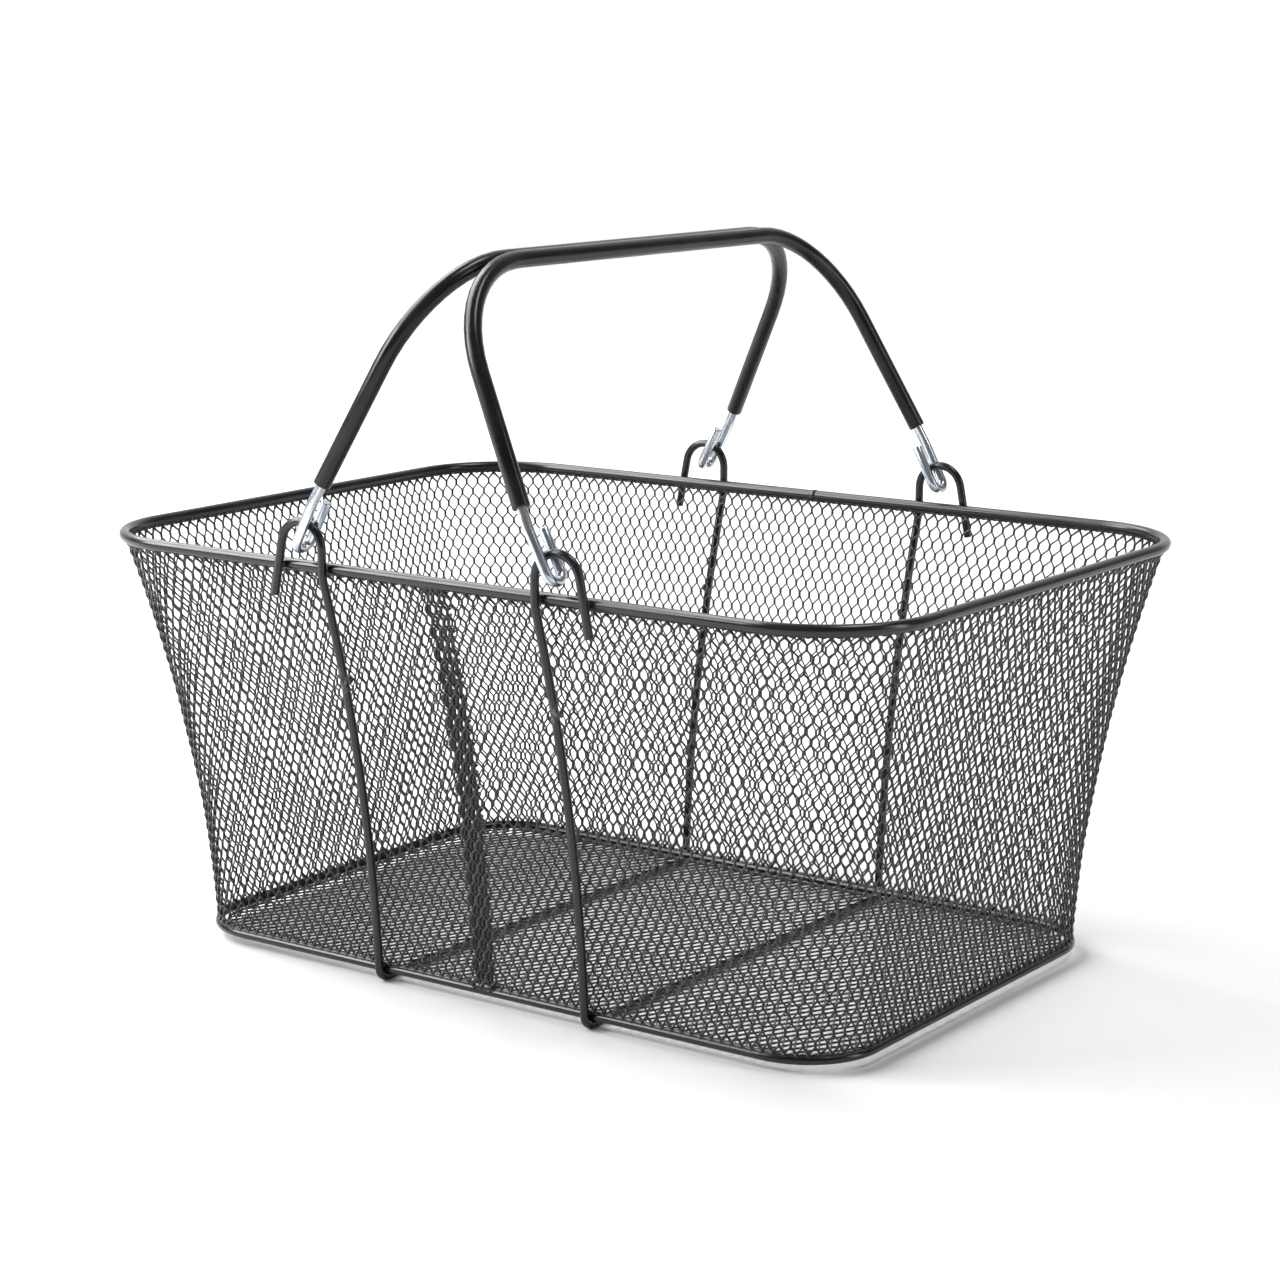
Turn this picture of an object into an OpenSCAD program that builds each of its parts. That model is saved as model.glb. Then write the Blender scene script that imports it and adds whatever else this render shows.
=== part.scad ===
// Wire-mesh shopping basket with two folding bail handles.
// Origin: on the surface that it stands on, under the middle of the basket.
// +X runs along the long side, -Y faces the front, +Z is up. Millimetres.

/* [Basket] */
// Half length of the top rim, to the middle of its wire
rim_half_x = 219; // [180:1:260]
// Half width of the top rim, to the middle of its wire
rim_half_y = 155; // [130:1:190]
// Corner radius of the top rim
rim_corner = 52; // [45:1:60]
// Height of the middle of the rim wire above the ground
rim_z = 201; // [170:1:240]
// Half length of the base ring, to the middle of its wire
base_half_x = 186.5; // [160:0.5:200]
// Half width of the base ring, to the middle of its wire
base_half_y = 121.5; // [105:0.5:135]
// Corner radius of the base ring
base_corner = 35; // [25:1:45]
// Share of the flare that is straight: 1 is a flat wall, 0 a full bell
straight_flare = 0.3; // [0:0.05:1]

/* [Wire and sheet] */
// Diameter of the rim wire
rim_d = 5.5; // [4:0.1:7]
// Diameter of the base ring wire
base_d = 4; // [3:0.1:5]
// Diameter of the two support wires
support_d = 4; // [3:0.1:5]
// Thickness of the expanded mesh
mesh_t = 1.2; // [0.8:0.1:2]

/* [Support wires] */
// Distance of each support wire from the middle of the basket
support_x = 60; // [50:1:75]
// Radius of the eye that each wire end is bent into
eye_r = 12; // [11:0.5:15]
// Height of the eye's centre above the rim wire
eye_rise = 9; // [8:0.5:12]
// How far the loose end of the eye splays out, in degrees
eye_splay = 11; // [0:1:15]
// How far the loose end reaches below the rim wire
eye_tail = 14; // [10:1:25]
// Lean of the leg at its foot, in degrees from upright
leg_lean_foot = 3; // [1:0.5:5]
// Lean of the leg below the rim, in degrees from upright
leg_lean_rim = 17; // [14:0.5:20]

/* [Handles] */
// Diameter of the handle rod
rod_d = 4.8; // [4:0.1:5.5]
// Outer diameter of the grip sleeve
grip_d = 8; // [7:0.1:10]
// Distance from the hinge axis to the middle of the grip bar
reach = 145; // [130:1:150]
// Radius of the bends at the ends of the grip bar
grip_corner = 58; // [45:1:65]
// Half length of the straight part of the grip bar
bar_half = 97; // [85:1:102]
// Length of the rod's hooked return, from the hinge axis
hook_return = 24; // [18:1:30]
// Distance from the hinge axis to the start of the sleeve
sleeve_start = 34; // [30:1:45]
// Free space on each side of the eye wire inside the hook
hook_gap = 0.4; // [0.3:0.05:1]
// Free space between the two raised grips
grips_gap = 0.5; // [0.3:0.1:2]
// Free space between the rod and the bore of the sleeve
sleeve_fit = 0.05; // [0.02:0.01:0.2]

/* [Hidden] */

wire_black = [0.09, 0.09, 0.10];
mesh_black = [0.16, 0.16, 0.17];
weld_grey = [0.30, 0.30, 0.31];
zinc = [0.80, 0.84, 0.88];
grip_black = [0.13, 0.13, 0.14];

rim_r = rim_d / 2;
base_r = base_d / 2;
support_r = support_d / 2;
rod_r = rod_d / 2;
grip_r = grip_d / 2;

// Heights: support wires on the ground, then the floor mesh and the base ring on them
floor_z = support_d;
floor_top = floor_z + mesh_t;
base_z = support_d + base_r;
wall_sink = 0.3;
wall_foot = base_z + base_r - wall_sink;
wall_top = rim_z - 0.8 * rim_r;
floor_gap = 0.6;

// Rings in plan stand for a distance from the middle, so front and back share them
touch_gap = 0.1;
loop_y = rim_half_y + rim_r + support_r + touch_gap;
foot_gap = 0.3;
foot_y = base_half_y + base_r + support_r + foot_gap;
foot_bend = 5;
knee_bend = 20;
eye_z = rim_z + eye_rise;
hinge_x = support_x + eye_r;

// Leg: a foot bend, one long bow and a knee that ends upright in the plane of the eye
bow_start_y = foot_y - foot_bend * (1 - cos(leg_lean_foot));
bow_reach = loop_y - bow_start_y - knee_bend * (1 - cos(leg_lean_rim));
bow_r = bow_reach / (cos(leg_lean_foot) - cos(leg_lean_rim));
bow_rise = bow_r * (sin(leg_lean_rim) - sin(leg_lean_foot));
bow_start_z = support_r + foot_bend * (1 - sin(leg_lean_foot));
knee_top = bow_start_z + bow_rise + knee_bend * sin(leg_lean_rim);
tail_start_z = eye_z + eye_r * sin(eye_splay);
tail_length = (tail_start_z - rim_z + eye_tail) / cos(eye_splay);

// Handle: the hook straddles the eye wire, and its bend crosses the hinge axis
hook_r = support_r + hook_gap + rod_r;
hook_run = 22;
hook_set = 40;
corner_t = reach - grip_corner;
set_a = bar_half - loop_y - hook_r + hook_set;
set_b = corner_t - hook_run;
leg_set = atan2(set_b, set_a) - acos((hook_set - grip_corner) / norm([set_a, set_b]));
leg_run = (corner_t + grip_corner * sin(leg_set) - hook_run - hook_set * sin(leg_set))
    / cos(leg_set);
sleeve_skip = (sleeve_start - hook_run - hook_set * sin(leg_set)) / cos(leg_set);
rest_lean = asin((hinge_x - grip_r - grips_gap / 2) / reach);

// Smoothness: of a ring's section and corners, of a bent wire, and of the wall
section_fn = 32;
bend_fn = 96;
sides = 12;
max_sag = 0.08;
corner_steps = 8;
wall_steps = 10;

// Weld beads
bead = 1.8;
ring_bead = 0.35;
ring_bead_length = 4;
leg_weld_z = 148;
floor_weld_y = [-80, 0, 80];
seam_weld_z = [26, 62, 98, 134, 170];
seam_button = 1.5;
seam_proud = 0.5;

// ---- Bent wires, each a list of [feed, roll, angle, bend radius] as a wire bender is told ----

// Turns vector v about the unit vector k
function turned(v, k, angle) =
    v * cos(angle) + cross(k, v) * sin(angle) + k * (k * v) * (1 - cos(angle));

// A frame is [place, side that the wire bends towards, direction, side that the section keeps]
function rolled(f, feed, roll) = [f[0] + f[2] * feed, turned(f[1], f[2], roll), f[2], f[3]];

function bent(f, angle, bend) =
    let (
        axis = cross(f[2], f[1]),
        centre = f[0] + f[1] * bend
    )
    [
        centre + turned(f[0] - centre, axis, angle),
        turned(f[1], axis, angle),
        turned(f[2], axis, angle),
        turned(f[3], axis, angle)
    ];

// Number of chords that keep a bend true to within the sag
function chords(angle, bend) = ceil(angle / (2 * acos(1 - max_sag / bend)));

function wire_frames(steps, f, i = 0) =
    i >= len(steps) ? [f] :
    let (
        feed = steps[i][0],
        angle = steps[i][2],
        bend = steps[i][3],
        start = rolled(f, feed, steps[i][1]),
        count = angle > 0 ? chords(angle, bend) : 0
    )
    concat(
        feed > 0 ? [f] : [],
        [for (k = [0:1:count - 1]) bent(start, angle * k / count, bend)],
        wire_frames(steps, angle > 0 ? bent(start, angle, bend) : start, i + 1)
    );

function section(f, r) = [
    for (j = [0:sides - 1])
        f[0] + r * (f[3] * cos(360 * j / sides) + cross(f[2], f[3]) * sin(360 * j / sides))
];

// Side faces between rings of points, each ring joined to the next
function side_faces(count, around, closed) = [
    for (i = [0:count - (closed ? 1 : 2)], j = [0:around - 1])
        let (
            next_i = (i + 1) % count,
            next_j = (j + 1) % around
        )
        [i * around + j, next_i * around + j, next_i * around + next_j, i * around + next_j]
];

module bent_wire(frames, r) {
    count = len(frames);
    points = [for (f = frames) for (p = section(f, r)) p];
    start_cap = [for (j = [0:sides - 1]) j];
    end_cap = [for (j = [sides - 1:-1:0]) (count - 1) * sides + j];
    polyhedron(points = points, faces = concat(side_faces(count, sides, false), [start_cap, end_cap]));
}

module bent_tube(frames, r, bore) {
    count = len(frames);
    outer = [for (f = frames) section(f, r)];
    inner = [for (i = [count - 1:-1:0]) section(frames[i], bore)];
    points = [for (one = concat(outer, inner)) for (p = one) p];
    polyhedron(points = points, faces = side_faces(2 * count, sides, true));
}

// ---- Rings ----

module ring_side(length, corner, r) {
    linear_extrude(height = length)
        circle(r = r, $fn = section_fn);
    translate([0, corner, length])
        rotate([0, -90, 0])
            rotate([0, 0, -90])
                rotate_extrude(angle = 90, $fn = bend_fn)
                    translate([corner, 0])
                        circle(r = r, $fn = section_fn);
}

module ring(half_x, half_y, corner, z, r) {
    run_x = 2 * (half_x - corner);
    run_y = 2 * (half_y - corner);
    for (turn = [0, 180])
        translate([0, 0, z])
            rotate([0, 0, turn]) {
                translate([-run_x / 2, -half_y, 0])
                    rotate([0, 90, 0])
                        ring_side(run_x, corner, r);
                translate([half_x, -run_y / 2, 0])
                    rotate([0, 90, 90])
                        ring_side(run_y, corner, r);
            }
}

module ring_weld(y, z, r) {
    translate([-ring_bead_length / 2, y, z])
        rotate([0, 90, 0])
            linear_extrude(height = ring_bead_length)
                difference() {
                    circle(r = r + ring_bead, $fn = section_fn);
                    circle(r = r, $fn = section_fn);
                }
}

module rim_ring() {
    color(wire_black)
        ring(rim_half_x, rim_half_y, rim_corner, rim_z, rim_r);
}

module rim_joint_weld() {
    color(weld_grey)
        ring_weld(rim_half_y, rim_z, rim_r);
}

module base_ring() {
    color(wire_black)
        ring(base_half_x, base_half_y, base_corner, base_z, base_r);
}

module base_joint_weld() {
    color(weld_grey)
        ring_weld(base_half_y, base_z, base_r);
}

// ---- Mesh wall and floor ----

// Share of the way out from the base ring to the rim, at height z
function flare(z) =
    let (s = (z - base_z) / (rim_z - base_z))
    straight_flare * s + (1 - straight_flare) * s * s;

// Rounded rectangle as points, grown by offset
function outline(half_x, half_y, corner, grow) = [
    for (quarter = [0:3], step = [0:corner_steps])
        let (
            angle = 90 * quarter + 90 * step / corner_steps,
            sx = (quarter == 0 || quarter == 3) ? 1 : -1,
            sy = quarter < 2 ? 1 : -1
        )
        [
            sx * (half_x - corner) + (corner + grow) * cos(angle),
            sy * (half_y - corner) + (corner + grow) * sin(angle)
        ]
];

function wall_half_y(z) = base_half_y + (rim_half_y - base_half_y) * flare(z);

function wall_ring(z, grow) =
    let (t = flare(z))
    [
        for (p = outline(
            base_half_x + (rim_half_x - base_half_x) * t,
            wall_half_y(z),
            base_corner + (rim_corner - base_corner) * t,
            grow
        ))
            [p[0], p[1], z]
    ];

// Outer skin upwards, then inner skin downwards, closed into a ring of rings
module wall_mesh() {
    around = 4 * (corner_steps + 1);
    heights = [for (i = [0:wall_steps]) wall_foot + (wall_top - wall_foot) * i / wall_steps];
    outer = [for (z = heights) wall_ring(z, mesh_t / 2)];
    inner = [for (i = [wall_steps:-1:0]) wall_ring(heights[i], -mesh_t / 2)];
    rings = concat(outer, inner);
    count = len(rings);
    points = [for (one = rings) for (p = one) p];
    color(mesh_black)
        polyhedron(points = points, faces = side_faces(count, around, true));
}

module floor_mesh() {
    inset = base_r + floor_gap;
    color(mesh_black)
        translate([0, 0, floor_z])
            linear_extrude(height = mesh_t)
                polygon(outline(base_half_x, base_half_y, base_corner, -inset));
}

module seam_welds() {
    color(weld_grey)
        for (z = seam_weld_z)
            translate([0, -wall_half_y(z), z])
                rotate([90, 0, 0])
                    cylinder(r = seam_button, h = mesh_t + 2 * seam_proud, center = true, $fn = 24);
}

// ---- Support wires, each an eye, a leg, a run under the floor, a leg and an eye ----

tail_x = hinge_x + eye_r * cos(eye_splay);

module support_wire(side) {
    under = 2 * (foot_y - foot_bend);
    rise = eye_z - knee_top;
    foot_angle = 90 - leg_lean_foot;
    bow_angle = leg_lean_rim - leg_lean_foot;
    eye_angle = 180 - eye_splay;
    start = [
        side * (tail_x + tail_length * sin(eye_splay)),
        -loop_y,
        tail_start_z - tail_length * cos(eye_splay)
    ];
    upwards = [-side * sin(eye_splay), 0, cos(eye_splay)];
    inwards = [-side * cos(eye_splay), 0, -sin(eye_splay)];
    steps = [
        [tail_length, 0, eye_angle, eye_r],
        [rise, -90 * side, leg_lean_rim, knee_bend],
        [0, 180, bow_angle, bow_r],
        [0, 180, foot_angle, foot_bend],
        [under, 0, foot_angle, foot_bend],
        [0, 180, bow_angle, bow_r],
        [0, 180, leg_lean_rim, knee_bend],
        [rise, 90 * side, eye_angle, eye_r],
        [tail_length, 0, 0, 0]
    ];
    color(wire_black)
        bent_wire(wire_frames(steps, [start, inwards, upwards, inwards]), support_r);
}

module support_wire_left() {
    support_wire(-1);
}

module support_wire_right() {
    support_wire(1);
}

// ---- Weld beads between the wires, the rings and the mesh ----

module at_each_leg() {
    for (sx = [0, 1], sy = [0, 1])
        mirror([sx, 0, 0])
            mirror([0, sy, 0])
                children();
}

module leg_welds() {
    from = wall_half_y(leg_weld_z);
    to = foot_y + bow_reach * 0.62;
    color(weld_grey)
        at_each_leg()
            translate([support_x, from, leg_weld_z])
                rotate([-90, 0, 0])
                    cylinder(r = bead * 0.8, h = to - from, $fn = 24);
}

module rim_welds() {
    joint_y = rim_half_y + rim_r;
    tail_at_rim = tail_x + (tail_start_z - rim_z) * tan(eye_splay);
    color(weld_grey)
        at_each_leg()
            for (x = [support_x, tail_at_rim])
                translate([x, joint_y, rim_z])
                    sphere(r = bead, $fn = 32);
}

module base_welds() {
    color(weld_grey)
        at_each_leg()
            translate([support_x, (base_half_y + foot_y) / 2, base_z + base_r])
                sphere(r = bead, $fn = 32);
}

module floor_welds() {
    depth = 0.8;
    color(weld_grey)
        for (x = [-support_x, support_x], y = floor_weld_y)
            translate([x, y, floor_z - depth])
                cylinder(r = support_r, h = depth + mesh_t / 2, $fn = 32);
}

// ---- Handles ----

// Places a handle that is drawn along +Z from its hinge, at its raised rest lean
module on_hinge(side) {
    translate([side * hinge_x, 0, eye_z])
        rotate([0, -side * rest_lean, 0])
            children();
}

// The whole bail: hook, leg, corner, bar, corner, leg, hook, all bent the same way
module handle_rod(side) {
    steps = [
        [hook_return - hook_r, 0, 180, hook_r],
        [hook_run - hook_r, 0, leg_set, hook_set],
        [leg_run, 0, 90 - leg_set, grip_corner],
        [2 * bar_half, 0, 90 - leg_set, grip_corner],
        [leg_run, 0, leg_set, hook_set],
        [hook_run - hook_r, 0, 180, hook_r],
        [hook_return - hook_r, 0, 0, 0]
    ];
    start = [[0, loop_y - hook_r, hook_return], [0, 1, 0], [0, 0, -1], [0, 1, 0]];
    color(zinc)
        on_hinge(side)
            bent_wire(wire_frames(steps, start), rod_r);
}

module grip(side) {
    steps = [
        [leg_run - sleeve_skip, 0, 90 - leg_set, grip_corner],
        [2 * bar_half, 0, 90 - leg_set, grip_corner],
        [leg_run - sleeve_skip, 0, 0, 0]
    ];
    start_y = loop_y + hook_r - hook_set * (1 - cos(leg_set)) - sleeve_skip * sin(leg_set);
    inwards = [0, -cos(leg_set), -sin(leg_set)];
    upwards = [0, -sin(leg_set), cos(leg_set)];
    start = [[0, start_y, sleeve_start], inwards, upwards, inwards];
    color(grip_black)
        on_hinge(side)
            bent_tube(wire_frames(steps, start), grip_r, rod_r + sleeve_fit);
}

module handle_rod_left() {
    handle_rod(-1);
}

module handle_rod_right() {
    handle_rod(1);
}

module grip_left() {
    grip(-1);
}

module grip_right() {
    grip(1);
}

rim_ring();
rim_joint_weld();
base_ring();
base_joint_weld();
wall_mesh();
seam_welds();
floor_mesh();
floor_welds();
support_wire_left();
support_wire_right();
leg_welds();
rim_welds();
base_welds();
handle_rod_left();
handle_rod_right();
grip_left();
grip_right();
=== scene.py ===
# %% [markdown]
# # A wire-mesh shopping basket
# The basket is five kinds of thing: thick wires bent to shape, one strip of expanded steel mesh
# that is the wall, a flat panel of the same mesh for the floor, weld beads that hold them
# together, and two swinging handles of zinc-plated rod with soft black grips.
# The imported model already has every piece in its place, so each cell below reads its sizes
# from there and only adds what the plain pieces lack: open mesh, smooth bends and real finishes.

import math

import bpy
import numpy as np
from mathutils import Matrix, Vector
from mathutils import noise as dent


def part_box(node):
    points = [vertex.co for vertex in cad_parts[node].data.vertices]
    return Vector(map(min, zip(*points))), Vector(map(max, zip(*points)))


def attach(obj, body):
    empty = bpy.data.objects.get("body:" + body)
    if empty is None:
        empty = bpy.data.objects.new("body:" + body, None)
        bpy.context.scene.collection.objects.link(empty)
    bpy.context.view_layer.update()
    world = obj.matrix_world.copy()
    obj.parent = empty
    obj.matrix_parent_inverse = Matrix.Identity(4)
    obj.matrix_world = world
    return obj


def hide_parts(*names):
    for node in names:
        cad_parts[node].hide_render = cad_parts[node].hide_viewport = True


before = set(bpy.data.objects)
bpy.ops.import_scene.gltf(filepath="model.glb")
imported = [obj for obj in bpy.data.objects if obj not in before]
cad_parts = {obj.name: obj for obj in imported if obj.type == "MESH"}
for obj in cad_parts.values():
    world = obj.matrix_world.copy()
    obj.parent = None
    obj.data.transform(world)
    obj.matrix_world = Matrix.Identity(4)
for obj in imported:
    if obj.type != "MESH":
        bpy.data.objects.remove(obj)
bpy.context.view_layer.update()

# %% [markdown]
# ## Sizes
# Blender works in metres. A node's box gives the middle line of a wire once its radius is
# taken off, so the mesh, the welds and the handles can all be placed from a few boxes.

# %% Sizes of the rings, the wall and the floor
mm = 0.001


def ring_sizes(node):
    low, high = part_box(node)
    radius = (high.z - low.z) / 2
    return high.x - radius, high.y - radius, (high.z + low.z) / 2, radius


rim_half_x, rim_half_y, rim_z, rim_r = ring_sizes("rim_ring")
base_half_x, base_half_y, base_z, base_r = ring_sizes("base_ring")
rim_corner, base_corner = 52 * mm, 35 * mm
floor_low, floor_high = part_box("floor_mesh")
wall_low, wall_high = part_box("wall_mesh")
print("rim", [round(v, 4) for v in (rim_half_x, rim_half_y, rim_z, rim_r)])
print("base", [round(v, 4) for v in (base_half_x, base_half_y, base_z, base_r)])

# %% Sizes of the support wires and their eyes
support_r = 2 * mm
wire_low, wire_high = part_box("support_wire_right")
support_x = wire_low.x + support_r
loop_y = wire_high.y - support_r
eye_r = 12 * mm
eye_z = wire_high.z - support_r - eye_r
eye_splay, leg_lean_foot, leg_lean_rim = (math.radians(a) for a in (11, 3, 17))
foot_bend, knee_bend = 5 * mm, 20 * mm
foot_gap = 0.3 * mm
foot_y = base_half_y + base_r + support_r + foot_gap
leg_weld_z = 148 * mm
print("support wire at", round(support_x, 4), "eye centre", round(eye_z, 4))

# %% [markdown]
# ## The formed wall
# The wall starts as a flat strip of mesh that is bent round, lapped over itself at the front
# and flared out towards the rim. A guide strip with that shape carries the pattern later.
# A modelled surface of rings could do the same, but a rule is exact: at each height the
# outline is a rounded rectangle between the base ring and the rim, and the flare says how far
# out it is. A smooth noise adds the small dents and swells of a wall that was formed by hand.


# %% A rounded rectangle, walked from the middle of the front
def ring_points(half_x, half_y, corner, share, grow=0.0):
    """Points at the given shares of the way round, and the outward directions there."""
    run_x, run_y, arc = 2 * (half_x - corner), 2 * (half_y - corner), corner * math.pi / 2
    distance = (np.asarray(share) % 1.0) * (2 * run_x + 2 * run_y + 4 * arc) + run_x / 2
    distance = distance % (2 * run_x + 2 * run_y + 4 * arc)
    x, y, angle = (np.zeros_like(distance) for _ in range(3))
    passed = 0.0
    for quarter, run in enumerate((run_x, run_y, run_x, run_y)):
        heading = quarter * math.pi / 2
        ahead = np.array([math.cos(heading), math.sin(heading)])
        out = np.array([ahead[1], -ahead[0]])
        reach = half_y if quarter % 2 == 0 else half_x
        along = distance - passed
        on_run = (along >= 0) & (along < run)
        place = ahead * (along[:, None] - run / 2) + out * reach
        x[on_run], y[on_run] = place[on_run, 0], place[on_run, 1]
        angle[on_run] = heading - math.pi / 2
        on_arc = (along >= run) & (along < run + arc)
        turn = heading - math.pi / 2 + (along - run) / corner
        middle = ahead * run / 2 + out * (reach - corner)
        x[on_arc] = (middle[0] + corner * np.cos(turn))[on_arc]
        y[on_arc] = (middle[1] + corner * np.sin(turn))[on_arc]
        angle[on_arc] = turn[on_arc]
        passed += run + arc
    outward = np.stack([np.cos(angle), np.sin(angle)], axis=-1)
    return np.stack([x, y], axis=-1) + outward * np.asarray(grow)[..., None], outward


# %% How the wall flares
straight_part = 0.3


def flare(z):
    """How far out the wall is at a height: 0 at the base ring, 1 at the rim, curving outwards."""
    share = (z - base_z) / (rim_z - base_z)
    return straight_part * share + (1 - straight_part) * share * share


def wall_half_y(z):
    return base_half_y + (rim_half_y - base_half_y) * flare(z)


print("flare half way up:", round(flare((base_z + rim_z) / 2), 3))


# %% A grid that knows where each of its points is
def grid_mesh(name, points, columns, rows):
    """A grid of points as quads, with a UV map that says how far along and up each one is."""
    faces = [
        (a, a + rows + 1, a + rows + 2, a + 1)
        for i in range(columns)
        for a in range(i * (rows + 1), i * (rows + 1) + rows)
    ]
    mesh = bpy.data.meshes.new(name)
    mesh.from_pydata(points, [], faces)
    along = np.arange(len(points)) // (rows + 1) / columns
    up = np.arange(len(points)) % (rows + 1) / rows
    corner_points = np.array([v for face in faces for v in face])
    layer = mesh.uv_layers.new(name="strip")
    layer.uv.foreach_set(
        "vector", np.stack([along, up], axis=-1)[corner_points].ravel().astype(np.float32)
    )
    return mesh


# %% The guide strip, lapped at the front
strip_columns, strip_rows = 420, 28
lap_share, lap_ramp = 0.0105, 0.03
strip_thick = 1.1 * mm
lap_step = 0.45 * strip_thick
dent_length, dent_depth = 45 * mm, 0.7 * mm


def waviness(places, z, share):
    """Small dents and swells of a strip formed by hand; none where it is welded to a ring."""
    held = math.sin(math.pi * share) ** 0.5 if 0 < share < 1 else 0.0
    swells = [dent.noise(Vector((x, y, z)) / dent_length) for x, y in places]
    return np.array(swells) * dent_depth * held


def wall_guide():
    """The middle surface of the wall: one end of the strip lies outside, the other inside."""
    along = np.linspace(-lap_share / 2, 1 + lap_share / 2, strip_columns + 1)
    outer_end = np.clip(1 - (along + lap_share / 2) / lap_ramp, 0, 1)
    inner_end = np.clip(1 - (1 + lap_share / 2 - along) / lap_ramp, 0, 1)
    layer = lap_step * (outer_end**2 - inner_end**2)
    columns = np.zeros((strip_columns + 1, strip_rows + 1, 3))
    foot, top = wall_low.z, wall_high.z
    for j in range(strip_rows + 1):
        z = foot + (top - foot) * j / strip_rows
        t = flare(z)
        places, outward = ring_points(
            base_half_x + (rim_half_x - base_half_x) * t,
            base_half_y + (rim_half_y - base_half_y) * t,
            base_corner + (rim_corner - base_corner) * t,
            along,
            layer,
        )
        columns[:, j, :2] = places + outward * waviness(places, z, j / strip_rows)[:, None]
        columns[:, j, 2] = z
    return grid_mesh("wall_guide", columns.reshape(-1, 3).tolist(), strip_columns, strip_rows)


print("wall guide faces:", len(wall_guide().polygons))

# %% [markdown]
# ## A small kit for Geometry Nodes
# The patterns are made by node trees that are built here in code. One helper adds a node and
# fills its inputs, another runs a tree on a mesh and keeps the result as a plain mesh. The
# same helpers build the materials later, because their trees work the same way.


# %% Start a tree and add nodes to it
def new_tree(name, inputs):
    tree = bpy.data.node_groups.new(name, "GeometryNodeTree")
    tree.interface.new_socket("Geometry", in_out="INPUT", socket_type="NodeSocketGeometry")
    for label, kind in inputs.items():
        tree.interface.new_socket(label, in_out="INPUT", socket_type="NodeSocket" + kind)
    tree.interface.new_socket("Geometry", in_out="OUTPUT", socket_type="NodeSocketGeometry")
    return tree, tree.nodes.new("NodeGroupInput").outputs


def add(tree, kind, inputs=None, **settings):
    """Adds a node. An input is named or numbered, and is given a value or another socket."""
    node = tree.nodes.new(kind)
    for key, value in settings.items():
        setattr(node, key, value)
    for key, value in (inputs or {}).items():
        if isinstance(value, bpy.types.NodeSocket):
            tree.links.new(value, node.inputs[key])
        else:
            node.inputs[key].default_value = value
    return node


# %% Nodes that are used again and again
def maths(tree, operation, *values):
    node = add(tree, "ShaderNodeMath", dict(enumerate(values)), operation=operation)
    return node.outputs[0]


def vector_maths(tree, operation, inputs, output="Vector"):
    return add(tree, "ShaderNodeVectorMath", inputs, operation=operation).outputs[output]


def spread(tree, value, low, high, from_low=0.35, from_high=0.65):
    """Turns one range of numbers into another; without a range, the one a noise mostly keeps to."""
    return add(
        tree, "ShaderNodeMapRange", {0: value, 1: from_low, 2: from_high, 3: low, 4: high}
    ).outputs[0]


def field(tree, kind):
    """What the geometry itself says at each of its points, such as Position or Normal."""
    return tree.nodes.new("GeometryNodeInput" + kind).outputs[0]


def attribute(tree, name, kind="FLOAT"):
    node = add(tree, "GeometryNodeInputNamedAttribute", {"Name": name}, data_type=kind)
    return node.outputs[0]


def round_bar(tree, lines, radius, sides, scale):
    """Sweeps a round section along curves and closes both ends."""
    section = add(
        tree, "GeometryNodeCurvePrimitiveCircle", {"Radius": radius, "Resolution": sides}
    ).outputs[0]
    return add(
        tree,
        "GeometryNodeCurveToMesh",
        {"Curve": lines, "Profile Curve": section, "Scale": scale, "Fill Caps": True},
    ).outputs[0]


# %% Finish a tree and run it
def finish_tree(tree, geometry, material, flat=None):
    """Shades the piece smooth, but for the faces picked as flat, and makes it one painted mesh."""
    shaded = add(tree, "GeometryNodeSetShadeSmooth", {"Geometry": geometry}).outputs[0]
    if flat is not None:
        choice = {"Geometry": shaded, "Selection": flat, "Shade Smooth": False}
        shaded = add(tree, "GeometryNodeSetShadeSmooth", choice).outputs[0]
    whole = add(tree, "GeometryNodeRealizeInstances", {0: shaded}).outputs[0]
    painted = add(tree, "GeometryNodeSetMaterial", {"Geometry": whole, "Material": material})
    tree.links.new(painted.outputs[0], tree.nodes.new("NodeGroupOutput").inputs[0])


def run_tree(name, mesh, tree, **inputs):
    """Runs a tree on a mesh once and returns an object that holds the plain result."""
    piece = bpy.data.objects.new(name, mesh)
    bpy.context.scene.collection.objects.link(piece)
    modifier = piece.modifiers.new(tree.name, "NODES")
    modifier.node_group = tree
    for socket in tree.interface.items_tree:
        if socket.in_out == "INPUT" and socket.name in inputs:
            modifier[socket.identifier] = inputs[socket.name]
    bpy.context.view_layer.update()
    depsgraph = bpy.context.evaluated_depsgraph_get()
    result = bpy.data.meshes.new_from_object(piece.evaluated_get(depsgraph), depsgraph=depsgraph)
    piece.modifiers.clear()
    piece.data = result
    result.name = name
    print(name, "faces:", len(result.polygons))
    return piece


def stand_for(piece, body, node):
    """Puts a piece on its body, in the place of the plain node that it shows in full."""
    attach(piece, body)
    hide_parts(node)


# %% [markdown]
# ## Finishes
# The steel is powder coated: a thick glossy black skin that flows round the wire and leaves a
# faint orange peel. A plain black shader would look like ink, so a fine noise bends the
# highlights and a broad one makes some patches duller than others, as handling does.


# %% Helpers for finishes
def shader(name):
    material = bpy.data.materials.new(name)
    material.use_nodes = True
    tree = material.node_tree
    surface = next(n for n in tree.nodes if n.type == "BSDF_PRINCIPLED")
    place = tree.nodes.new("ShaderNodeTexCoord").outputs["Object"]
    return material, tree, surface, place


def noise(tree, place, scale, detail=2.0):
    return add(
        tree, "ShaderNodeTexNoise", {"Vector": place, "Scale": scale, "Detail": detail}
    ).outputs[0]


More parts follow.
